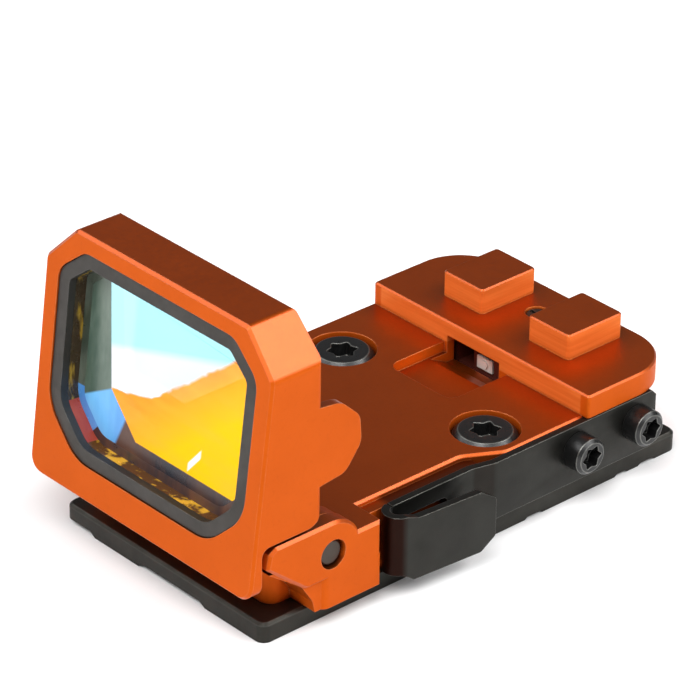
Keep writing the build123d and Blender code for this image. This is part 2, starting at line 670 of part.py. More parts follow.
with BuildPart() as latch_arm:
    bend_mid = (STRIP_IN + PAD_FRONT_X) / 2
    bend_r = (PAD_FRONT_X - STRIP_IN) / 2
    bend_end = BEND_Y - BEND_GAP
    with BuildSketch(Plane.XY.offset(PAD_LOW - 0.1)):
        with BuildLine():
            ThreePointArc(
                (STRIP_IN, bend_end), (bend_mid, BEND_Y - bend_r), (PAD_FRONT_X, bend_end),
            )
            Polyline(
                (PAD_FRONT_X, bend_end), (PAD_REAR_X, PAD_REAR_Y), (PAD_REAR_X - LEAF_T, PAD_REAR_Y),
                (PAD_FRONT_X - LEAF_T, bend_end),
            )
            ThreePointArc(
                (PAD_FRONT_X - LEAF_T, bend_end), (bend_mid, BEND_Y - bend_r + LEAF_T),
                (STRIP_IN + LEAF_T, bend_end),
            )
            Line((STRIP_IN + LEAF_T, bend_end), (STRIP_IN, bend_end))
        make_face()
    extrude(amount=LEAF_TOP - PAD_LOW + 0.1)
    # side outline: the bend as tall as the leaf, the pad lower with its rear corners clipped
    with BuildSketch(Plane.YZ):
        with BuildLine():
            FilletPolyline(
                (BEND_Y - 3, LEAF_LOW), (BEND_Y - 0.5, LEAF_LOW), (BEND_Y + 0.5, PAD_LOW),
                (PAD_REAR_Y - 1.5, PAD_LOW), (PAD_REAR_Y, PAD_LOW + 1.1),
                (PAD_REAR_Y, PAD_TOP - 1.1), (PAD_REAR_Y - 1.6, PAD_TOP),
                (BEND_Y + 0.9, PAD_TOP), (BEND_Y - 0.2, LEAF_TOP), (BEND_Y - 3, LEAF_TOP),
                radius=(0.0, 0.3, 0.3, 0.4, 0.3, 0.4, 0.4, 0.4, 0.4, 0.0), close=True,
            )
        make_face()
    extrude(amount=PAD_REAR_X + 1, mode=Mode.INTERSECT)
save(latch_arm.part, "latch_arm")


def star_points(radius, inner, count=6):
    """Corner points of a six-lobed driver recess."""
    step = radians(180 / count)
    radii = [radius if i % 2 == 0 else inner for i in range(2 * count)]
    return [(r * cos(i * step), r * sin(i * step)) for i, r in enumerate(radii)]


def star_recess(plane, radius):
    """Outline of a six-lobed driver recess on a plane."""
    with BuildSketch(plane) as star:
        with BuildLine():
            Polyline(*star_points(radius, 0.7 * radius), close=True)
        make_face()
        fillet(star.vertices(), radius=0.11 * radius)
    return star.sketch


# ---------------------------------------------------------------- screws
with BuildPart() as latch_screws:
    head_face = LEAF_SEAT_HALF + LEAF_T + LATCH_HEAD_T
    for y in LATCH_SCREW_YS:
        with BuildSketch(Plane.YZ.offset(LEAF_SEAT_HALF + LEAF_T)):
            with Locations((y, LATCH_SCREW_Z)):
                Circle(LATCH_HEAD_R)
        extrude(amount=LATCH_HEAD_T)
        with BuildSketch(Plane.YZ.offset(LEAF_SEAT_HALF - 3.0)):
            with Locations((y, LATCH_SCREW_Z)):
                Circle(LATCH_SHANK_R)
        extrude(amount=3.0 + LEAF_T + 0.1)
    rims = latch_screws.faces().filter_by_position(Axis.X, head_face - 0.01, head_face + 0.01)
    chamfer(rims.edges(), length=0.3)
    for y in LATCH_SCREW_YS:
        drive_plane = Plane(origin=(head_face, y, LATCH_SCREW_Z), x_dir=(0, 1, 0), z_dir=(1, 0, 0))
        extrude(star_recess(drive_plane, 1.15), amount=-1.1, mode=Mode.SUBTRACT)
save(latch_screws.part, "latch_screws")

with BuildPart() as deck_screws:
    for x in (-DECK_SCREW_SPACING / 2, DECK_SCREW_SPACING / 2):
        with BuildSketch(Plane.XY.offset(DECK_Z - DECK_HEAD_T - 0.15)):
            with Locations((x, DECK_SCREW_Y)):
                Circle(DECK_HEAD_R)
        extrude(amount=DECK_HEAD_T + 0.1)
        with BuildSketch(Plane.XY.offset(0.15)):
            with Locations((x, DECK_SCREW_Y)):
                Circle(DECK_SHANK_R)
        extrude(amount=DECK_Z - DECK_HEAD_T)
    rims = deck_screws.faces().filter_by_position(Axis.Z, DECK_Z - 0.06, DECK_Z - 0.04)
    chamfer(rims.edges(), length=0.45)
    for x in (-DECK_SCREW_SPACING / 2, DECK_SCREW_SPACING / 2):
        drive_plane = Plane(origin=(x, DECK_SCREW_Y, DECK_Z - 0.05))
        extrude(star_recess(drive_plane, 1.45), amount=-1.3, mode=Mode.SUBTRACT)
save(deck_screws.part, "deck_screws")

# ---------------------------------------------------------------- battery and contacts
with BuildPart() as coin_cell:
    with BuildSketch(Plane.XY.offset(CELL_Z)):
        with Locations((0, CELL_Y)):
            Circle(CELL_R)
    extrude(amount=CELL_T)
    fillet(coin_cell.faces().sort_by(Axis.Z)[0].edges(), radius=0.3)
    # the negative cap stands a little inside the can's rim
    with BuildSketch(Plane.XY.offset(CELL_Z + CELL_T)):
        with Locations((0, CELL_Y)):
            Circle(CELL_R)
            Circle(CELL_R - 1.3, mode=Mode.SUBTRACT)
    extrude(amount=-0.35, mode=Mode.SUBTRACT)
save(coin_cell.part, "coin_cell")

with BuildPart() as contact_positive:
    # flat tab lying on the plate under the cell, with a tail towards the board
    with BuildSketch(Plane.XY.offset(PLATE_THICK + 0.05)):
        with Locations((0, CELL_Y)):
            SlotOverall(12.0, 4.0)
        with Locations((-1.6, (CELL_Y + BOARD_BAY_FRONT) / 2 + 1.6)):
            Rectangle(1.4, BOARD_BAY_FRONT - CELL_Y + 3.2)
    extrude(amount=0.3)
save(contact_positive.part, "battery_contact_positive")

with BuildPart() as contact_negative:
    # strip above the cell, against the pocket's roof
    with BuildSketch(Plane.XY.offset(CELL_Z + CELL_T + 0.05)):
        with Locations((0, CELL_Y)):
            SlotOverall(11.0, 3.0)
    extrude(amount=0.3)
save(contact_negative.part, "battery_contact_negative")

# ---------------------------------------------------------------- circuit board
BOARD_T = 0.8
BOARD_Z = 2.6
with BuildPart() as circuit_board:
    with BuildSketch(Plane.XY.offset(BOARD_Z)):
        with Locations((0, (BOARD_BAY_FRONT + BAY_REAR) / 2)):
            RectangleRounded(2 * BAY_HALF - 0.4, BAY_REAR - BOARD_BAY_FRONT - 0.4, 0.5)
    extrude(amount=BOARD_T)
    # brightness controller and two small parts on the underside
    with Locations((1.4, 14.0, BOARD_Z - 0.25)):
        Box(3.0, 3.0, 0.5)
    with Locations((-3.4, 17.4, BOARD_Z - 0.2), (3.6, 18.4, BOARD_Z - 0.2)):
        Box(1.6, 0.8, 0.4)
save(circuit_board.part, "circuit_board")

# ---------------------------------------------------------------- emitter and its two adjusters
LIFT_LOW = 4.6
LIFT_HIGH = 8.3
LIFT_WALL = 0.9
LIFT_HALF = 5.0
LIFT_FRONT = 13.3
LIFT_REAR = 20.2
LIFT_POCKET_REAR = 17.5
CARRIAGE_HALF = 2.3
CARRIAGE_LOW = LIFT_LOW + LIFT_WALL + 0.05
CARRIAGE_HIGH = 8.1
LED_X = -0.8
LED_Z = 6.45
SHIFT_GAP = 0.5
with BuildPart() as lift_frame:
    # open tray that rises and falls in the bay and carries the sideways slide
    with BuildSketch(Plane.XY.offset(LIFT_LOW)):
        with Locations((0, (LIFT_FRONT + LIFT_REAR) / 2)):
            RectangleRounded(2 * LIFT_HALF, LIFT_REAR - LIFT_FRONT, 0.5)
        with Locations((0, ELEV_Y)):
            Circle(ELEV_SHANK_R + RUN_GAP, mode=Mode.SUBTRACT)
    extrude(amount=LIFT_HIGH - LIFT_LOW)
    pocket_y = (LIFT_FRONT - 0.4 + LIFT_POCKET_REAR) / 2
    with Locations((0, pocket_y, (LIFT_LOW + LIFT_WALL + LIFT_HIGH + 1.0) / 2)):
        Box(
            2 * (LIFT_HALF - LIFT_WALL), LIFT_POCKET_REAR - LIFT_FRONT + 0.4,
            LIFT_HIGH + 1.0 - LIFT_LOW - LIFT_WALL, mode=Mode.SUBTRACT,
        )
    # slot in the left wall that the windage screw passes through
    with BuildSketch(Plane.YZ.offset(-LIFT_HALF)):
        with Locations((WIND_Y, WIND_Z)):
            Circle(WIND_SHANK_R + WIND_PLAY)
    extrude(amount=LIFT_WALL + 0.1, mode=Mode.SUBTRACT)
save(lift_frame.part, "emitter_lift_frame")

with BuildPart() as carriage:
    with Locations((0, 15.35, (CARRIAGE_LOW + CARRIAGE_HIGH) / 2)):
        Box(2 * CARRIAGE_HALF, 3.7, CARRIAGE_HIGH - CARRIAGE_LOW)
    # shallow seat for the emitter chip in the front face
    with Locations((LED_X, 13.5, LED_Z)):
        Box(2.0, 0.7, 1.3, mode=Mode.SUBTRACT)
    with BuildSketch(Plane.YZ.offset(-CARRIAGE_HALF)):
        with Locations((WIND_Y, WIND_Z)):
            Circle(WIND_SHANK_R + WIND_PLAY)
    extrude(amount=3.0, mode=Mode.SUBTRACT)
save(carriage.part, "emitter_carriage")

with BuildPart() as emitter_led:
    with Locations((LED_X, 13.6, LED_Z)):
        Box(1.9, 0.5, 1.2)
    with BuildSketch(Plane.XZ.offset(-13.35)):
        with Locations((LED_X, LED_Z)):
            Circle(0.4)
    extrude(amount=0.12)
save(emitter_led.part, "emitter_led")

with BuildPart() as elevation_screw:
    # slotted head in the block's top, shank down through the tray
    with BuildSketch(Plane.XY.offset(BAY_TOP + 0.1)):
        with Locations((0, ELEV_Y)):
            Circle(ELEV_R)
    extrude(amount=BLOCK_TOP - 0.15 - BAY_TOP - 0.1)
    chamfer(elevation_screw.faces().sort_by(Axis.Z)[-1].edges(), length=0.15)
    with BuildSketch(Plane.XY.offset(LIFT_LOW + 0.6)):
        with Locations((0, ELEV_Y)):
            Circle(ELEV_SHANK_R)
    extrude(amount=BAY_TOP + 0.2 - LIFT_LOW - 0.6)
    with Locations((0, ELEV_Y, BLOCK_TOP - 0.15)):
        Box(1.9, 0.4, 0.6, mode=Mode.SUBTRACT)
save(elevation_screw.part, "elevation_screw")

with BuildPart() as windage_screw:
    # slotted head in the housing's left side, thin nose into the carriage
    with BuildSketch(Plane.YZ.offset(-REAR_HALF + 0.15)):
        with Locations((WIND_Y, WIND_Z)):
            Circle(WIND_R)
    extrude(amount=REAR_HALF - 0.15 - BAY_HALF)
    chamfer(windage_screw.faces().sort_by(Axis.X)[0].edges(), length=0.15)
    with BuildSketch(Plane.YZ.offset(-BAY_HALF - 0.1)):
        with Locations((WIND_Y, WIND_Z)):
            Circle(WIND_SHANK_R)
    extrude(amount=BAY_HALF + 0.1 - 0.6)
    with Locations((-REAR_HALF + 0.15, WIND_Y, WIND_Z)):
        Box(0.9, 0.4, 1.9, mode=Mode.SUBTRACT)
save(windage_screw.part, "windage_screw")

# return springs: a wave leaf under the tray and one beside the carriage
with BuildPart() as lift_spring:
    with BuildSketch(Plane.XZ.offset(-18.9)):
        with BuildLine():
            wave_low = BOARD_Z + BOARD_T + 0.02
            wave_high = LIFT_LOW - 0.32
            wave_top = ThreePointArc((-4.0, wave_low + 0.15), (0, wave_high), (4.0, wave_low + 0.15))
            Line((4.0, wave_low + 0.15), (4.0, wave_low))
            ThreePointArc((4.0, wave_low), (0, wave_high - 0.15), (-4.0, wave_low))
            Line((-4.0, wave_low), (-4.0, wave_low + 0.15))
        make_face()
    extrude(amount=3.2)
save(lift_spring.part, "lift_spring")

with BuildPart() as shift_spring:
    with BuildSketch(Plane.XY.offset(6.0)):
        with BuildLine():
            inner_x = CARRIAGE_HALF + SHIFT_GAP
            outer_x = LIFT_HALF - LIFT_WALL - 0.02
            ThreePointArc((outer_x, 13.7), (inner_x, 15.3), (outer_x, 16.9))
            Line((outer_x, 16.9), (outer_x - 0.15, 17.05))
            ThreePointArc((outer_x - 0.15, 17.05), (inner_x - 0.15, 15.3), (outer_x - 0.15, 13.55))
            Line((outer_x - 0.15, 13.55), (outer_x, 13.7))
        make_face()
    extrude(amount=1.6)
save(shift_spring.part, "shift_spring")

# ---------------------------------------------------------------- brightness button
with BuildPart() as brightness_button:
    with BuildSketch(Plane.YZ.offset(-REAR_HALF - 0.6)):
        with Locations((BUTTON_Y, BUTTON_Z)):
            Circle(BUTTON_R)
    extrude(amount=REAR_HALF + 0.6 - BAY_HALF - 1.6)
    fillet(brightness_button.faces().sort_by(Axis.X)[0].edges(), radius=0.35)
save(brightness_button.part, "brightness_button")

with BuildPart() as button_switch:
    with Locations((-BAY_HALF - 0.45, BUTTON_Y, BUTTON_Z)):
        Box(0.9, 2.6, 2.6)
save(button_switch.part, "button_switch")
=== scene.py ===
"""Looks for the folding miniature reflex sight: camera, studio, materials and detailed pieces."""
import bpy
import bmesh
import json
import math
from mathutils import Matrix, Vector


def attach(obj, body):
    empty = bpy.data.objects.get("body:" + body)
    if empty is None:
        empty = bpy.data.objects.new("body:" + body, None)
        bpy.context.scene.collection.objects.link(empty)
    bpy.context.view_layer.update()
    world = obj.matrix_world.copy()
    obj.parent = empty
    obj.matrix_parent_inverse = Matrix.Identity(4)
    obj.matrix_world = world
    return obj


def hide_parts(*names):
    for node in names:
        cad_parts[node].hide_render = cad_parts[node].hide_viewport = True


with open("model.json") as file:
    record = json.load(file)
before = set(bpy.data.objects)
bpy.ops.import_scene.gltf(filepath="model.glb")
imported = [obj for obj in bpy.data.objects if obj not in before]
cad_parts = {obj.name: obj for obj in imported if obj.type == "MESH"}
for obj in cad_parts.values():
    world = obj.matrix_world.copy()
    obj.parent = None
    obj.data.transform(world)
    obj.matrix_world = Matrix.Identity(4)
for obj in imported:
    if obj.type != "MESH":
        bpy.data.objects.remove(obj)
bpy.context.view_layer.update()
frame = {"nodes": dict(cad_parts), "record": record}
NODES = frame["nodes"]
MM = 0.001

# directions of the leaning lens: out through its front, and up along it
LENS_OUT = Vector((0, -0.99255, 0.12187))
LENS_UP = Vector((0, 0.12187, 0.99255))


def span(node, axis):
    """Lowest and highest distance of a node's points along an axis, in millimetres."""
    heights = [axis.dot(NODES[node].matrix_world @ v.co) / MM for v in NODES[node].data.vertices]
    return min(heights), max(heights)


GASKET_LOW, GASKET_HIGH = span("lens_gasket", LENS_UP)
GASKET_LEDGE = 1.1
OPENING_MIDDLE = (GASKET_LOW + GASKET_HIGH) / 2
OPENING_HALF = (GASKET_HIGH - GASKET_LOW) / 2 - GASKET_LEDGE + 0.05
OPENING_SIDE = (10.70, 10.76)
SHADED_LINING_FRONT = -span("lens_gasket", -LENS_OUT)[0]

# lines across the lens, each as a * x + b * z + offset = 0 in millimetres
FILM_LINES = {
    "diagonal": (0.617, -0.787, 13.88),
    "sill": (0.23, -1.0, 16.65),
    "cool": (-0.275, 0.961, -19.9),
    "glint": (1.2, -1.0, 8.5),
    "beside": (1.0, 0.128, 4.9),
    "corner": (0.69, 0.72, -6.16),
    "blue end": (1.0, -0.4, 10.2),
    "green start": (-0.54, 1.0, -18.77),
}
GLINT_X = 3.9
FILM_BOTTOM = 11.75
FILM_BORDER = 1.5
FILM_CORNER = (-9, 15)

# parts of the film that mirror so that what lies behind does not show, in x and in z
VEIL_SIDE = (-5.0, -4.3)
VEIL_LOW = (17.5, 18.0)

# rounding of the replaced pieces
SHARP_ANGLE = math.radians(35)
ROUNDING_STEPS = 3
# slot of the lighter edge material, which stands for wear and a painted highlight
EDGE_WEAR_AND_HIGHLIGHT_MATERIAL = 1

# where the painted lighter tone of the block and the painted shade of the waist wall begin and end, in
# millimetres
BLOCK_FRONT = (11.6, 11.7)
BLOCK_BASE = (7.9, 8.0)
BLOCK_SIDE = (12.4, 12.6)
BLOCK_BACK = (21.6, 21.8)
WAIST_SIDE = (8.0, 8.2)
WAIST_TOP = (7.6, 7.68)
WAIST_MIDDLE = -3.0
WAIST_REACH = (6.4, 7.2)

# ------------------------------------------------------------------ camera and studio
CAMERA_TARGET = Vector((-3.97, 0.37, 11.28)) * MM
CAMERA_DISTANCE = 346.5 * MM
CAMERA_AZIMUTH = math.radians(47.64)
CAMERA_ELEVATION = math.radians(29.34)
CAMERA_ROLL = math.radians(0.85)
CAMERA_LENS = 209.5
FLOOR_HALF = 3.0


def direction(azimuth, elevation):
    """Unit vector from the object towards a viewer; azimuth 0 stands at -Y and 90 at +X."""
    flat = math.cos(elevation)
    return Vector((math.sin(azimuth) * flat, -math.cos(azimuth) * flat, math.sin(elevation)))


def add_camera():
    data = bpy.data.cameras.new("camera")
    data.lens = CAMERA_LENS
    data.sensor_width = 36.0
    data.clip_start = 0.01
    camera = bpy.data.objects.new("camera", data)
    bpy.context.collection.objects.link(camera)
    back = direction(CAMERA_AZIMUTH, CAMERA_ELEVATION)
    right = Vector((math.cos(CAMERA_AZIMUTH), math.sin(CAMERA_AZIMUTH), 0))
    up = back.cross(right)
    turned_right = math.cos(CAMERA_ROLL) * right + math.sin(CAMERA_ROLL) * up
    turned_up = back.cross(turned_right)
    axes = Matrix((turned_right, turned_up, back)).transposed()
    camera.matrix_world = Matrix.Translation(CAMERA_TARGET + back * CAMERA_DISTANCE) @ axes.to_4x4()
    bpy.context.scene.camera = camera


def add_softbox(name, azimuth, elevation, distance, size, power):
    """A square area light that faces the object from a direction given in degrees."""
    data = bpy.data.lights.new(name, "AREA")
    data.shape = "RECTANGLE"
    data.size, data.size_y = size
    data.energy = power
    light = bpy.data.objects.new(name, data)
    bpy.context.collection.objects.link(light)
    back = direction(math.radians(azimuth), math.radians(elevation))
    facing_object = back.to_track_quat("Z", "Y").to_matrix().to_4x4()
    light.matrix_world = Matrix.Translation(back * distance) @ facing_object


def add_floor():
    mesh = bpy.data.meshes.new("floor")
    half = FLOOR_HALF
    corners = [(-half, -half, 0), (half, -half, 0), (half, half, 0), (-half, half, 0)]
    mesh.from_pydata(corners, [], [(0, 1, 2, 3)])
    floor = bpy.data.objects.new("floor", mesh)
    bpy.context.collection.objects.link(floor)
    material = bpy.data.materials.new("studio_floor")
    material.use_nodes = True
    shader = material.node_tree.nodes["Principled BSDF"]
    shader.inputs["Base Color"].default_value = (0.93, 0.93, 0.93, 1)
    shader.inputs["Roughness"].default_value = 0.7
    shader.inputs["Specular IOR Level"].default_value = 0.1
    mesh.materials.append(material)


def add_studio():
    world = bpy.data.worlds.new("studio")
    bpy.context.scene.world = world
    world.use_nodes = True
    world.node_tree.nodes["Background"].inputs["Color"].default_value = (0.20, 0.20, 0.205, 1)
    add_softbox("key", 25, 58, 0.7, (0.5, 0.5), 4.6)
    add_softbox("side", 110, 40, 0.7, (0.5, 0.4), 2.4)
    add_softbox("fill", -50, 40, 0.8, (0.6, 0.5), 2.4)
    add_softbox("rim", 146, 46, 0.6, (0.22, 0.16), 1.0)
    add_floor()
    bpy.context.scene.view_settings.view_transform = "Standard"


# ------------------------------------------------------------------ material building
class Tree:
    """A small helper that adds and links shader nodes."""

    def __init__(self, name):
        self.material = bpy.data.materials.new(name)
        self.material.use_nodes = True
        self.tree = self.material.node_tree
        self.shader = self.tree.nodes["Principled BSDF"]
        self.output = self.tree.nodes["Material Output"]
        self.coords = self.add("ShaderNodeTexCoord").outputs["Object"]

    def add(self, kind, **settings):
        node = self.tree.nodes.new(kind)
        for key, value in settings.items():
            setattr(node, key, value)
        return node

    def link(self, output, socket):
        self.tree.links.new(output, socket)

    def set(self, **values):
        for key, value in values.items():
            self.shader.inputs[key.replace("_", " ")].default_value = value

    def scaled(self, scale):
        node = self.add("ShaderNodeMapping")
        node.inputs["Scale"].default_value = scale
        self.link(self.coords, node.inputs["Vector"])
        return node.outputs["Vector"]

    def noise(self, scale, detail=3.0, stretch=(1, 1, 1), roughness=0.55):
        node = self.add("ShaderNodeTexNoise")
        node.inputs["Scale"].default_value = scale
        node.inputs["Detail"].default_value = detail
        node.inputs["Roughness"].default_value = roughness
        self.link(self.scaled(stretch), node.inputs["Vector"])
        return node.outputs["Fac"]

    def remap(self, value, low, high, to_low, to_high):
        node = self.add("ShaderNodeMapRange")
        node.inputs["From Min"].default_value = low
        node.inputs["From Max"].default_value = high
        node.inputs["To Min"].default_value = to_low
        node.inputs["To Max"].default_value = to_high
        self.link(value, node.inputs["Value"])
        return node.outputs["Result"]

    def mix(self, factor, a, b):
        node = self.add("ShaderNodeMix", data_type="RGBA")
        self.link(factor, node.inputs["Factor"])
        for value, socket in ((a, node.inputs["A"]), (b, node.inputs["B"])):
            if isinstance(value, tuple):
                socket.default_value = (*value, 1)
            else:
                self.link(value, socket)
        return node.outputs["Result"]

    def math(self, operation, a, b=None):
        node = self.add("ShaderNodeMath", operation=operation)
        for value, socket in ((a, node.inputs[0]), (b, node.inputs[1])):
            if value is None:
                continue
            if isinstance(value, (int, float)):
                socket.default_value = value
            else:
                self.link(value, socket)
        return node.outputs[0]

    def bump(self, height, distance, strength, normal=None):
        node = self.add("ShaderNodeBump")
        node.inputs["Distance"].default_value = distance
        node.inputs["Strength"].default_value = strength
        self.link(height, node.inputs["Height"])
        if normal is not None:
            self.link(normal, node.inputs["Normal"])
        return node.outputs["Normal"]

    def rounded(self, radius):
        """Normal of an edge softened over a small radius."""
        node = self.add("ShaderNodeBevel", samples=4)
        node.inputs["Radius"].default_value = radius
        return node.outputs["Normal"]

    def crevices(self, distance):
        """Mask that falls to 0 where neighbouring surfaces crowd in."""
        node = self.add("ShaderNodeAmbientOcclusion", samples=4)
        node.inputs["Distance"].default_value = distance
        return node.outputs["AO"]

    def position(self):
        """X, Y and Z in millimetres in the part's frame."""
        node = self.add("ShaderNodeSeparateXYZ")
        self.link(self.scaled((1 / MM, 1 / MM, 1 / MM)), node.inputs["Vector"])
        return node.outputs["X"], node.outputs["Y"], node.outputs["Z"]

    def plane(self, a, x, b, z, offset):
        """a * x + b * z + offset, the distance from a line in millimetres."""
        both = self.math("ADD", self.math("MULTIPLY", x, a), self.math("MULTIPLY", z, b))
        return self.math("ADD", both, offset)

    def line(self, x, z, name):
        """Distance from one of the lines across the lens."""
        a, b, offset = FILM_LINES[name]
        return self.plane(a, x, b, z, offset)

    def level(self):
        """1 on faces that lie flat in the part's frame, 0 on upright ones."""
        node = self.add("ShaderNodeSeparateXYZ")
        self.link(self.add("ShaderNodeTexCoord").outputs["Normal"], node.inputs["Vector"])
        return self.math("ABSOLUTE", node.outputs["Z"])

    def axis_y(self):
        """Y of the face's direction in the part's frame."""
        node = self.add("ShaderNodeSeparateXYZ")
        self.link(self.add("ShaderNodeTexCoord").outputs["Normal"], node.inputs["Vector"])
        return node.outputs["Y"]

    def surface(self, shader):
        self.link(shader, self.output.inputs["Surface"])

    def edges(self, rounded_normal, low=0.02, high=0.25):
        """Mask that is 1 on sharp edges, from how far the softened normal leans."""
        geometry = self.add("ShaderNodeNewGeometry")
        dot = self.add("ShaderNodeVectorMath", operation="DOT_PRODUCT")
        self.link(rounded_normal, dot.inputs[0])
        self.link(geometry.outputs["Normal"], dot.inputs[1])
        lean = self.math("SUBTRACT", 1.0, dot.outputs["Value"])
        return self.remap(lean, low, high, 0.0, 1.0)


def orange_anodised(name="orange_anodised", shaded_lined_opening=False):
    """Satin anodised aluminium: upright faces are matt, level faces are milled and mirror more."""
    t = Tree(name)
    rounded = t.rounded(0.14 * MM)
    edge = t.edges(rounded)
    cloud = t.noise(220, 3)
    shade = t.mix(t.remap(cloud, 0.35, 0.7, 0, 1), (0.575, 0.092, 0.005), (0.54, 0.085, 0.004))
    speck = t.remap(t.noise(2600, 4), 0.55, 0.75, 0, 0.25)
    shade = t.mix(speck, shade, (0.44, 0.065, 0.004))
    patchy = t.remap(t.noise(900, 2), 0.4, 0.65, 0.35, 0.8)
    # bright rubbed edges: wear, and a painted highlight along the edges
    edge_wear_and_highlight = t.mix(t.math("MULTIPLY", edge, patchy), shade, (0.80, 0.30, 0.13))
    # painted shade in crevices where surfaces crowd in
    painted_crevice_shade = t.remap(t.crevices(0.7 * MM), 0.15, 0.7, 0.85, 0)
    colour_with_painted_light = t.mix(painted_crevice_shade, edge_wear_and_highlight, (0.08, 0.011, 0.003))
    level = t.level()
    # painted shade on level faces close to walls
    painted_shade_near_walls = t.remap(t.crevices(2.5 * MM), 0.5, 0.95, 0.75, 0)
    colour_with_painted_light = t.mix(t.math("MULTIPLY", painted_shade_near_walls, t.remap(level, 0.7, 0.95, 0, 1)), colour_with_painted_light, (0.20, 0.065, 0.012))
    x, y, z = t.position()
    if shaded_lined_opening:
        # dark green-grey lining of the lens opening, also standing as painted shade inside it
        across = t.remap(t.math("ABSOLUTE", x), *OPENING_SIDE, 1, 0)
        height = t.plane(LENS_UP.y, y, LENS_UP.z, z, -OPENING_MIDDLE)
        along = t.remap(t.math("ABSOLUTE", height), OPENING_HALF, OPENING_HALF + 0.06, 1, 0)
        behind = t.remap(t.plane(-LENS_OUT.y, y, -LENS_OUT.z, z, SHADED_LINING_FRONT), 0.0, 0.1, 0, 1)
        lined_and_shaded = t.math("MULTIPLY", t.math("MULTIPLY", across, along), behind)
        colour_with_painted_light = t.mix(lined_and_shaded, colour_with_painted_light, (0.10, 0.115, 0.10))
    else:
        # the block and its posts are brushed, and their open upright faces away from crevices are
        # painted a shade lighter as painted light
        brushed = t.remap(t.noise(900, 3, (0.12, 0.12, 3)), 0.35, 0.65, 0, 1)
        light = t.mix(brushed, (0.80, 0.21, 0.040), (0.70, 0.16, 0.026))
        raised = t.math("MULTIPLY", t.remap(y, *BLOCK_FRONT, 0, 1), t.remap(z, *BLOCK_BASE, 0, 1))
        upright = t.remap(level, 0.35, 0.7, 1, 0)
        inboard = t.remap(t.math("ABSOLUTE", x), *BLOCK_SIDE, 1, 0)
        open_part = t.math("MULTIPLY", inboard, t.remap(y, *BLOCK_BACK, 1, 0))
        free = t.math("MULTIPLY", t.remap(painted_crevice_shade, 0.1, 0.5, 1, 0), open_part)
        painted_light_mask = t.math("MULTIPLY", t.math("MULTIPLY", raised, upright), free)
        colour_with_painted_light = t.mix(painted_light_mask, colour_with_painted_light, light)
        # the waist wall behind the latch stays in shade
        shaded = t.math("MULTIPLY", t.remap(x, *WAIST_SIDE, 0, 1), t.remap(z, *WAIST_TOP, 1, 0))
        length = t.remap(t.math("ABSOLUTE", t.math("ADD", y, -WAIST_MIDDLE)), *WAIST_REACH, 1, 0)
        strength = t.math("MULTIPLY", t.math("MULTIPLY", shaded, length), 0.85)
        colour_with_painted_light = t.mix(strength, colour_with_painted_light, (0.10, 0.018, 0.003))
    t.link(colour_with_painted_light, t.shader.inputs["Base Color"])
    t.link(t.remap(level, 0.35, 0.7, 0.25, 1.0), t.shader.inputs["Metallic"])
    coat = t.math("MULTIPLY", t.remap(level, 0.4, 0.65, 0.0, 0.5), t.remap(level, 0.8, 0.98, 1, 0.25))
    t.link(coat, t.shader.inputs["Coat Weight"])
    t.set(Specular_IOR_Level=0.05, Coat_Roughness=0.3)
    t.link(t.remap(t.noise(2800, 2), 0.3, 0.7, 0.43, 0.48), t.shader.inputs["Roughness"])
    t.link(t.bump(t.noise(5200, 2), 0.006 * MM, 0.6, rounded), t.shader.inputs["Normal"])
    return t.material


def dark_anodised(name, colour, rough=0.42, edge_wear_and_highlight_colour=(0.20, 0.195, 0.18), grain=0.006, painted_front_shade=False):
    """Satin dark finish with bright edges that are wear and a painted highlight; when asked, faces
    turned towards the front get a maroon painted shade.
    """
    t = Tree(name)
    rounded = t.rounded(0.12 * MM)
    edge = t.edges(rounded)
    cloud = t.noise(260, 3)
    darker = tuple(0.75 * c for c in colour)
    shade = t.mix(t.remap(cloud, 0.35, 0.7, 0, 1), colour, darker)
    patchy = t.remap(t.noise(1100, 2), 0.42, 0.62, 0.1, 0.7)
    # bright edges are wear and a painted highlight; crevices get painted shade
    edge_wear_and_highlight = t.mix(t.math("MULTIPLY", edge, patchy), shade, edge_wear_and_highlight_colour)
    colour_with_painted_light = t.mix(t.remap(t.crevices(0.6 * MM), 0.1, 0.7, 0.8, 0), edge_wear_and_highlight, (0.004, 0.004, 0.004))
    # faces turned towards the front get a maroon painted shade
    if painted_front_shade:
        colour_with_painted_light = t.mix(t.remap(t.axis_y(), -0.5, -0.15, 0.9, 0), colour_with_painted_light, (0.016, 0.004, 0.002))
    t.link(colour_with_painted_light, t.shader.inputs["Base Color"])
    t.set(Metallic=0.85, Specular_IOR_Level=0.2)
    t.link(t.remap(t.noise(1300, 3), 0.3, 0.7, rough - 0.05, rough + 0.07), t.shader.inputs["Roughness"])
    t.link(t.bump(t.noise(4800, 2), grain * MM, 0.7, rounded), t.shader.inputs["Normal"])
    return t.material


def steel(name, colour, rough):
    """Oiled or blackened steel with bright edges that are wear and a painted highlight."""
    t = Tree(name)
    rounded = t.rounded(0.08 * MM)
    edge = t.edges(rounded)
    lighter = tuple(min(1.0, 3.2 * c + 0.05) for c in colour)
    patchy = t.remap(t.noise(1500, 2), 0.35, 0.6, 0.25, 0.8)
    # bright edges are wear and a painted highlight
    edge_wear_and_highlight = t.mix(t.math("MULTIPLY", edge, patchy), colour, lighter)
    t.link(edge_wear_and_highlight, t.shader.inputs["Base Color"])
    t.set(Metallic=0.9)
    t.link(t.remap(t.noise(2400, 3), 0.3, 0.7, rough - 0.06, rough + 0.1), t.shader.inputs["Roughness"])
    t.link(t.bump(t.noise(6000, 2), 0.004 * MM, 0.6, rounded), t.shader.inputs["Normal"])
    return t.material


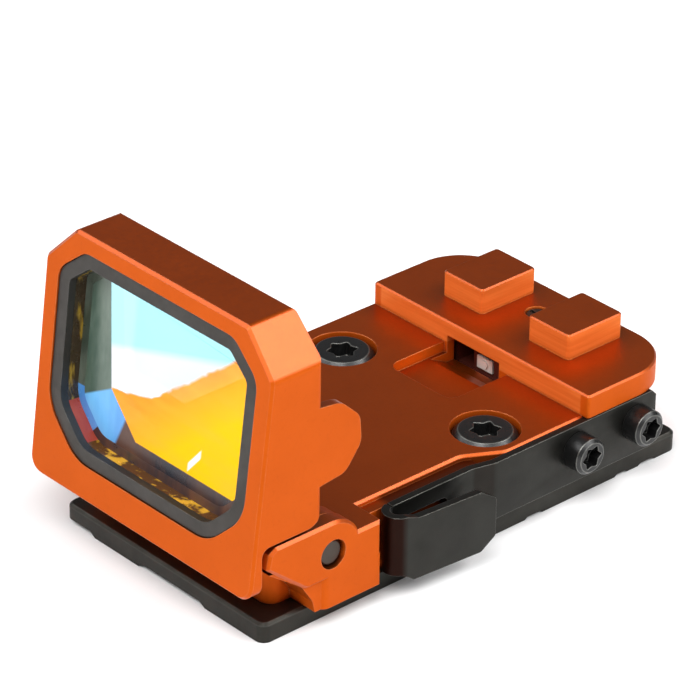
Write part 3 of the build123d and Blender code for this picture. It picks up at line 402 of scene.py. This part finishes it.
def plain(name, colour, rough, metallic=0.0):
    """A slightly mottled and grainy surface for the small parts."""
    t = Tree(name)
    shade = t.mix(t.remap(t.noise(700, 3), 0.35, 0.7, 0, 1), colour, tuple(0.8 * c for c in colour))
    t.link(shade, t.shader.inputs["Base Color"])
    t.set(Metallic=metallic)
    t.link(t.remap(t.noise(1800, 2), 0.3, 0.7, rough - 0.05, rough + 0.08), t.shader.inputs["Roughness"])
    t.link(t.bump(t.noise(5000, 2), 0.005 * MM, 0.6), t.shader.inputs["Normal"])
    return t.material


def clear_glass():
    """Polished glass without a coating: nearly everything passes, a little is mirrored."""
    t = Tree("clear_glass")
    passed = t.add("ShaderNodeBsdfTransparent")
    passed.inputs["Color"].default_value = (0.97, 0.99, 0.985, 1)
    mirrored = t.add("ShaderNodeBsdfGlossy")
    mirrored.inputs["Roughness"].default_value = 0.03
    lean = t.add("ShaderNodeLayerWeight")
    lean.inputs["Blend"].default_value = 0.35
    both = t.add("ShaderNodeMixShader")
    t.link(t.remap(t.math("POWER", lean.outputs["Facing"], 3.0), 0, 1, 0.02, 0.5), both.inputs[0])
    t.link(passed.outputs[0], both.inputs[1])
    t.link(mirrored.outputs[0], both.inputs[2])
    t.surface(both.outputs[0])
    return t.material


def coated_glass():
    """Front of the lens: a film that passes cyan and mirrors gold, its gold patch, streaks and glint
    painted as reflection and highlight, inside a ground border painted with reflected colours.
    """
    t = Tree("coated_glass")
    x, y, z = t.position()
    wave = t.math("MULTIPLY", t.remap(t.noise(420, 3, (1, 1, 2.5)), 0.3, 0.7, -0.5, 0.5), 0.3)
    # below the diagonal and the sill the film mirrors gold; the patch's place, its warmer depth and its
    # streaks are a painted reflection over the coating's mirror
    diagonal = t.line(x, z, "diagonal")
    sill = t.line(x, z, "sill")
    reach = t.math("ADD", t.math("MAXIMUM", diagonal, sill), wave)
    gold = t.remap(reach, -0.12, 0.2, 0.02, 0.95)
    cool = t.remap(t.line(x, z, "cool"), -0.2, 0.5, 0, 1)
    tint = t.mix(cool, (0.83, 0.88, 0.93), (0.46, 0.84, 0.94))
    passed = t.add("ShaderNodeBsdfTransparent")
    t.link(tint, passed.inputs["Color"])
    streak = t.remap(t.noise(300, 4, (0.5, 1, 2.2)), 0.40, 0.62, 0, 1)
    depth = t.remap(diagonal, 0.3, 4.5, 0, 1)
    warm = t.mix(depth, (1.0, 0.31, 0.035), (1.0, 0.55, 0.010))
    film = t.mix(t.math("MULTIPLY", streak, 0.4), warm, (1.0, 0.46, 0.05))
    # a painted glint: a short pale stroke across the gold
    slope = t.math("ABSOLUTE", t.line(x, z, "glint"))
    reach_x = t.math("ABSOLUTE", t.math("SUBTRACT", x, GLINT_X))
    glint = t.math("MULTIPLY", t.remap(slope, 0.3, 0.45, 1, 0), t.remap(reach_x, 0.6, 0.8, 1, 0))
    film = t.mix(glint, film, (1.0, 0.96, 0.9))
    veil = t.math("MAXIMUM", t.remap(x, *VEIL_SIDE, 0.93, 0), t.remap(z, *VEIL_LOW, 0.93, 0))
    mirrored = t.add("ShaderNodeBsdfGlossy")
    mirrored.inputs["Roughness"].default_value = 0.06
    t.link(t.mix(t.remap(reach, -0.12, 0.05, 0, 1), tint, film), mirrored.inputs["Color"])
    both = t.add("ShaderNodeMixShader")
    t.link(t.math("MAXIMUM", gold, veil), both.inputs[0])
    t.link(passed.outputs[0], both.inputs[1])
    t.link(mirrored.outputs[0], both.inputs[2])
    # border: green beside, blue in the corner, slate below, all painted reflections on the ground edge
    beside = t.line(x, z, "beside")
    corner = t.line(x, z, "corner")
    inside = t.math("MINIMUM", t.math("MINIMUM", beside, corner), t.math("SUBTRACT", z, FILM_BOTTOM))
    cloud = t.remap(t.noise(350, 4, (1, 1, 0.3)), 0.35, 0.65, 0, 1)
    green = t.mix(cloud, (0.06, 0.10, 0.075), (0.16, 0.21, 0.17))
    blue = t.mix(cloud, (0.16, 0.50, 0.88), (0.10, 0.34, 0.75))
    slate = t.mix(cloud, (0.012, 0.013, 0.022), (0.085, 0.035, 0.022))
    low = t.mix(t.remap(t.line(x, z, "blue end"), 0.0, 0.3, 0, 1), blue, slate)
    above = t.remap(t.line(x, z, "green start"), -0.1, 0.1, 0, 1)
    t.link(t.mix(above, low, green), t.shader.inputs["Base Color"])
    t.set(Roughness=0.25)
    whole = t.add("ShaderNodeMixShader")
    t.link(t.remap(inside, -0.05, 0.05, 1, 0), whole.inputs[0])
    t.link(both.outputs[0], whole.inputs[1])
    t.link(t.shader.outputs[0], whole.inputs[2])
    t.surface(whole.outputs[0])
    return t.material


def tinted_wall(name, colour, second, scale=500, rough=0.35, low=0.38, high=0.64):
    """Inner wall of the lens mount, streaked with the colours that the film throws on it."""
    t = Tree(name)
    streak = t.remap(t.noise(scale, 4, (1, 1, 0.25)), low, high, 0, 1)
    t.link(t.mix(streak, colour, second), t.shader.inputs["Base Color"])
    t.set(Metallic=0.1)
    t.link(t.remap(t.noise(1400, 3), 0.3, 0.7, rough - 0.08, rough + 0.1), t.shader.inputs["Roughness"])
    t.link(t.bump(t.noise(3000, 3), 0.02 * MM, 0.6), t.shader.inputs["Normal"])
    return t.material


MATERIALS = {
    "orange_anodised": orange_anodised(),
    "black_anodised": dark_anodised("black_anodised", (0.046, 0.044, 0.038)),
    "grey_bezel": dark_anodised("grey_bezel", (0.085, 0.079, 0.073), 0.5),
    "black_spring_steel": dark_anodised(
        "black_spring_steel", (0.034, 0.033, 0.029), 0.36, (0.30, 0.29, 0.26), painted_front_shade=True,
    ),
    # lighter copies for the rounded edges, standing for wear and a painted highlight
    "edge_wear_and_highlight_spring_steel": dark_anodised("edge_wear_and_highlight_spring_steel", (0.14, 0.137, 0.122), 0.34),
    "edge_wear_and_highlight_steel": steel("edge_wear_and_highlight_steel", (0.15, 0.15, 0.14), 0.34),
    "edge_wear_and_highlight_anodised": dark_anodised("edge_wear_and_highlight_anodised", (0.075, 0.072, 0.064), 0.4),
    "black_steel": steel("black_steel", (0.05, 0.05, 0.05), 0.32),
    "dark_steel": steel("dark_steel", (0.075, 0.062, 0.052), 0.42),
    "spring_steel": steel("spring_steel", (0.5, 0.5, 0.5), 0.28),
    "coated_glass": clear_glass(),
    "lens_film": coated_glass(),
    "rim_black": plain("rim_black", (0.006, 0.006, 0.006), 0.35),
    "wall_brown": tinted_wall(
        "wall_brown", (0.050, 0.032, 0.015), (0.40, 0.25, 0.03), 800, 0.25, 0.52, 0.60,
    ),
    "wall_amber": tinted_wall(
        "wall_amber", (0.11, 0.042, 0.008), (0.78, 0.42, 0.03), 620, 0.2, 0.50, 0.58,
    ),
    "wall_red": tinted_wall("wall_red", (0.35, 0.035, 0.02), (0.42, 0.07, 0.04)),
    "edge_green": tinted_wall("edge_green", (0.035, 0.05, 0.035), (0.17, 0.20, 0.16), 350),
    "edge_slate": tinted_wall("edge_slate", (0.015, 0.016, 0.026), (0.12, 0.05, 0.03), 400),
    "edge_blue": tinted_wall("edge_blue", (0.14, 0.42, 0.85), (0.08, 0.28, 0.70), 260, 0.2),
    "hood_anodised": orange_anodised("hood_anodised", True),
    "gasket_rubber": plain("gasket_rubber", (0.02, 0.02, 0.02), 0.8),
    "cell_steel": plain("cell_steel", (0.62, 0.62, 0.6), 0.25, 1.0),
    "contact_brass": plain("contact_brass", (0.8, 0.6, 0.28), 0.3, 1.0),
    "board_laminate": plain("board_laminate", (0.02, 0.14, 0.06), 0.4),
    # the red-brown tint is a painted reflection of the orange housing in dark aluminium
    "dark_aluminium": plain("dark_aluminium", (0.11, 0.020, 0.012), 0.5, 0.2),
    "led_ceramic": plain("led_ceramic", (0.8, 0.79, 0.74), 0.3),
    "button_rubber": plain("button_rubber", (0.03, 0.03, 0.03), 0.7),
    "switch_plastic": plain("switch_plastic", (0.04, 0.04, 0.045), 0.35),
}


def dress_nodes():
    """Give every CAD node the material of its slot."""
    for entry in frame["record"]["subparts"]:
        node = NODES[entry["node"]]
        for slot in node.material_slots:
            slot.link = "OBJECT"
            slot.material = MATERIALS[entry["material_slot"]]


def working_copy(node):
    """A bmesh of a CAD node in the part's frame, with its flat faces made whole."""
    source = NODES[node]
    mesh = bmesh.new()
    mesh.from_mesh(source.data)
    mesh.transform(source.matrix_world)
    bmesh.ops.remove_doubles(mesh, verts=mesh.verts, dist=1e-6)
    bmesh.ops.dissolve_limit(mesh, angle_limit=math.radians(0.5), verts=mesh.verts, edges=mesh.edges)
    return mesh


def finish_piece(mesh, name, node, body, materials):
    """Turn a bmesh into a piece that stands for a CAD node."""
    data = bpy.data.meshes.new(name)
    mesh.to_mesh(data)
    mesh.free()
    for material in materials:
        data.materials.append(MATERIALS[material])
    data.shade_smooth()
    data.set_sharp_from_angle(angle=SHARP_ANGLE)
    piece = bpy.data.objects.new(name, data)
    bpy.context.collection.objects.link(piece)
    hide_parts(node)
    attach(piece, body)


def soften(mesh, width):
    """Round every sharp edge and give the rounding the lighter edge material, which stands for wear and
    a painted highlight.
    """
    sharp = [e for e in mesh.edges if len(e.link_faces) == 2 and e.calc_face_angle(0) > SHARP_ANGLE]
    bmesh.ops.bevel(
        mesh, geom=sharp, offset=width, offset_type="OFFSET", segments=ROUNDING_STEPS,
        profile=0.6, affect="EDGES", clamp_overlap=True, material=EDGE_WEAR_AND_HIGHLIGHT_MATERIAL,
    )


def facing(face, direction_out):
    return face.normal.dot(direction_out)


def paint_walls(mesh, left, bottom, corner, other, inward):
    """Pick a material for each wall from the way it faces; inward is 1 for a hole, -1 for a slab."""
    for face in mesh.faces:
        if abs(facing(face, LENS_OUT)) > 0.5:
            continue
        across = face.normal.x * inward
        up = facing(face, LENS_UP) * inward
        if across > 0.9:
            face.material_index = left
        elif up > 0.9:
            face.material_index = bottom
        elif across > 0.3 and up > 0.3:
            face.material_index = corner
        else:
            face.material_index = other


# material of the glass's ground border, from whether it lies beside and below the film
BORDER_MATERIAL = {(True, True): 4, (True, False): 2, (False, True): 3, (False, False): 5}


def build_lens():
    """Doublet with ground edges and a painted border, held off the bezel by a spacer."""
    front = working_copy("front_lens")
    outer = max(front.faces, key=lambda f: facing(f, LENS_OUT) * f.calc_area())
    bmesh.ops.inset_region(front, faces=[outer], thickness=FILM_BORDER * MM, use_even_offset=True)
    film = max(front.faces, key=lambda f: facing(f, LENS_OUT) * f.calc_area())
    paint_walls(front, 2, 3, 4, 3, -1)
    for face in front.faces:
        lean = facing(face, LENS_OUT)
        if face == film:
            face.material_index = 0
        elif lean > 0.5:
            middle = face.calc_center_median()
            beside = middle.x < FILM_CORNER[0] * MM
            below = middle.z < FILM_CORNER[1] * MM
            face.material_index = BORDER_MATERIAL[beside, below]
        elif lean < -0.5:
            face.material_index = 1
    finish_piece(
        front, "front_glass", "front_lens", "hood",
        ("lens_film", "coated_glass", "edge_green", "edge_slate", "edge_blue", "rim_black"),
    )
    rear = working_copy("rear_lens")
    paint_walls(rear, 1, 2, 3, 2, -1)
    finish_piece(
        rear, "rear_glass", "rear_lens", "hood",
        ("coated_glass", "edge_green", "edge_slate", "edge_blue"),
    )
    spacer = working_copy("lens_spacer")
    paint_walls(spacer, 1, 2, 3, 1, 1)
    finish_piece(
        spacer, "spacer_ring", "lens_spacer", "hood",
        ("rim_black", "wall_brown", "wall_amber", "wall_red"),
    )


def refine(node, name, body, slot, edge_wear_and_highlight, width):
    """Replace a node by its own shape with properly rounded edges; the width is in millimetres."""
    mesh = working_copy(node)
    soften(mesh, width * MM)
    finish_piece(mesh, name, node, body, (slot, edge_wear_and_highlight))


add_camera()
add_studio()
dress_nodes()
# the hood's own orange has the dark lining of the lens opening painted in, a lining that also stands as
# painted shade inside the opening
for slot in NODES["lens_hood"].material_slots:
    slot.material = MATERIALS["hood_anodised"]
build_lens()
refine("latch_arm", "latch_pad", "latch", "black_spring_steel", "edge_wear_and_highlight_spring_steel", 0.08)
refine("latch_spring", "latch_leaf", "housing", "black_spring_steel", "edge_wear_and_highlight_spring_steel", 0.08)
refine("deck_screws", "deck_screw_pair", "housing", "black_steel", "edge_wear_and_highlight_steel", 0.07)
refine("latch_screws", "latch_screw_pair", "housing", "black_steel", "edge_wear_and_highlight_steel", 0.07)
refine("mounting_plate", "base_plate", "housing", "black_anodised", "edge_wear_and_highlight_anodised", 0.07)
